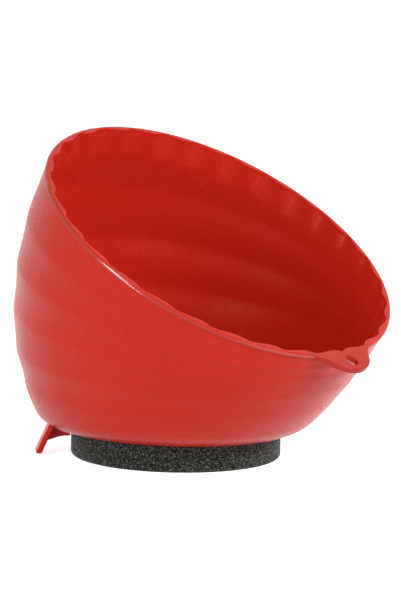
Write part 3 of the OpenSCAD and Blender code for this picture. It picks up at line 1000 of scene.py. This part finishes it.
def seen_directly(nodes):
    """1 for camera, glossy and transmission rays, and 0 for the light on the object."""
    camera, glossy, transmission = (
        nodes.node("ShaderNodeLightPath", out=ray)
        for ray in ("Is Camera Ray", "Is Glossy Ray", "Is Transmission Ray")
    )
    return camera.or_more(glossy).or_more(transmission)


def white_world(scene, light):
    """A world that is white at strength 1 where it is seen directly, and an even light otherwise."""
    scene.world = bpy.data.worlds.new("studio")
    scene.world.use_nodes = True
    nodes = Nodes(scene.world.node_tree)
    nodes.tree.nodes.clear()
    strength = seen_directly(nodes) * (1 - light) + light
    glow = nodes.node("ShaderNodeBackground", {}, {"Color": (1, 1, 1, 1), "Strength": strength})
    nodes.node("ShaderNodeOutputWorld", {}, {"Surface": glow})


def pale_floor(scene, rgb):
    """A large flat floor that keeps the object's shadow and is white elsewhere."""
    mesh = bpy.data.meshes.new("floor")
    corners = [(x * FLOOR_HALF, y * FLOOR_HALF, 0) for x, y in ((-1, -1), (1, -1), (1, 1), (-1, 1))]
    mesh.from_pydata(corners, [], [(0, 1, 2, 3)])
    floor = bpy.data.objects.new("floor", mesh)
    scene.collection.objects.link(floor)
    material = bpy.data.materials.new("pale_floor")
    material.use_nodes = True
    nodes = Nodes(material.node_tree)
    nodes.tree.nodes.clear()
    matt = nodes.node("ShaderNodeBsdfDiffuse", {}, {"Color": rgba(rgb)})
    glow = nodes.node("ShaderNodeEmission", {}, {"Strength": seen_directly(nodes) * FLOOR_LIFT})
    both = nodes.node("ShaderNodeAddShader", {}, {0: matt, 1: glow})
    nodes.node("ShaderNodeOutputMaterial", {}, {"Surface": both})
    floor.data.materials.append(material)


def area_light(scene, name, watts):
    """One oblong soft light at its place in the table of lamps, turned to face the bowl."""
    azimuth, elevation, distance, size = LAMPS[name]
    a, e = math.radians(azimuth), math.radians(elevation)
    where = (
        distance * math.sin(a) * math.cos(e),
        -distance * math.cos(a) * math.cos(e),
        LAMP_CENTRE_H + distance * math.sin(e),
    )
    lamp = bpy.data.lights.new(name, "AREA")
    lamp.shape = "RECTANGLE"
    lamp.size, lamp.size_y = size
    lamp.energy = watts
    back = np.array(where) - np.array(LAMP_TARGET)
    back = back / np.linalg.norm(back)
    right = np.cross([0, 0, 1], back)
    right = right / np.linalg.norm(right)
    up = np.cross(back, right)
    holder = bpy.data.objects.new(name, lamp)
    holder.matrix_world = placed(where, right, up, back)
    scene.collection.objects.link(holder)


def placed(where, right, up, back):
    """The placement of a lamp or camera at a point, from its three directions."""
    return Matrix.Translation(where) @ Matrix(np.column_stack([right, up, back]).tolist()).to_4x4()


# The camera that the photograph was taken with, as the fit of the outline gave it
CAMERA = {
    "elevation": 0.138,
    "roll": 0.01999,
    "azimuth": -0.87016,
    "distance": 1.4,
    "pixels_per_metre": 2553.5,
    "origin_px": (175.55, 453.95),
}
IMAGE = (401, 601)
SENSOR = 36.0


def place_camera(scene):
    """The camera looks along the fitted direction, and the origin falls on its fitted pixel."""
    fit = CAMERA
    a, e, roll = fit["azimuth"], fit["elevation"], fit["roll"]
    right = np.array([math.cos(a), math.sin(a), 0.0])
    away = np.array([-math.sin(a), math.cos(a), 0.0])
    rise = np.array([0.0, 0.0, 1.0])
    view = math.cos(e) * away - math.sin(e) * rise
    up = math.sin(e) * away + math.cos(e) * rise
    right, up = (
        math.cos(roll) * right + math.sin(roll) * up,
        -math.sin(roll) * right + math.cos(roll) * up,
    )
    x = (fit["origin_px"][0] - IMAGE[0] / 2) / fit["pixels_per_metre"]
    y = -(fit["origin_px"][1] - IMAGE[1] / 2) / fit["pixels_per_metre"]
    where = -(x * right + y * up + fit["distance"] * view)
    camera = bpy.data.cameras.new("photo_camera")
    camera.sensor_width = SENSOR
    camera.lens = fit["pixels_per_metre"] * fit["distance"] / max(IMAGE) * SENSOR
    camera.clip_start, camera.clip_end = 0.05, 50.0
    holder = bpy.data.objects.new("photo_camera", camera)
    holder.matrix_world = placed(where.tolist(), right, up, -view)
    scene.collection.objects.link(holder)
    scene.camera = holder


def build_stage(scene, stage):
    """Floor, world, lights and camera."""
    pale_floor(scene, stage.floor)
    white_world(scene, stage.world_light)
    for name in LAMPS:
        area_light(scene, name, getattr(stage, name))
    scene.view_settings.view_transform = "Standard"
    place_camera(scene)


class TRAY_PT_panel(Panel):
    """Lists the sizes and the steps that build the tray"""

    bl_idname = "TRAY_PT_panel"
    bl_label = "Parts tray"
    bl_space_type = "VIEW_3D"
    bl_region_type = "UI"
    bl_category = "Parts tray"

    def draw(self, context):
        for group in GROUPS:
            box = self.layout.box()
            holder = getattr(context.scene, group)
            for name in holder.__annotations__:
                box.prop(holder, name)
        for step in STEPS:
            self.layout.operator(step.bl_idname)


GROUPS = {
    "tray_bowl": TrayBowlSizes,
    "tray_tab": TrayTabSizes,
    "tray_pry": TrayPrySizes,
    "tray_finish": TrayFinish,
    "tray_stage": TrayStage,
}
STEPS = (
    TRAY_OT_bowl,
    TRAY_OT_tab,
    TRAY_OT_pry_feet,
    TRAY_OT_cap,
    TRAY_OT_boot,
    TRAY_OT_inside,
    TRAY_OT_stage,
)


def register():
    """Registers the classes and gives the scene its groups of sizes and colours."""
    for kind in (*GROUPS.values(), *STEPS, TRAY_PT_panel):
        bpy.utils.register_class(kind)
    for name, kind in GROUPS.items():
        setattr(bpy.types.Scene, name, PointerProperty(type=kind))


def unregister():
    """Takes the groups and the classes away again."""
    for name in GROUPS:
        delattr(bpy.types.Scene, name)
    for kind in reversed((*GROUPS.values(), *STEPS, TRAY_PT_panel)):
        bpy.utils.unregister_class(kind)


def main():
    """Registers the classes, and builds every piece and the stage."""
    register()
    bpy.ops.parts_tray.bowl()
    bpy.ops.parts_tray.tab()
    bpy.ops.parts_tray.pry_feet()
    bpy.ops.parts_tray.cap()
    bpy.ops.parts_tray.boot()
    bpy.ops.parts_tray.inside()
    bpy.ops.parts_tray.stage()


if __name__ == "__main__":
    main()
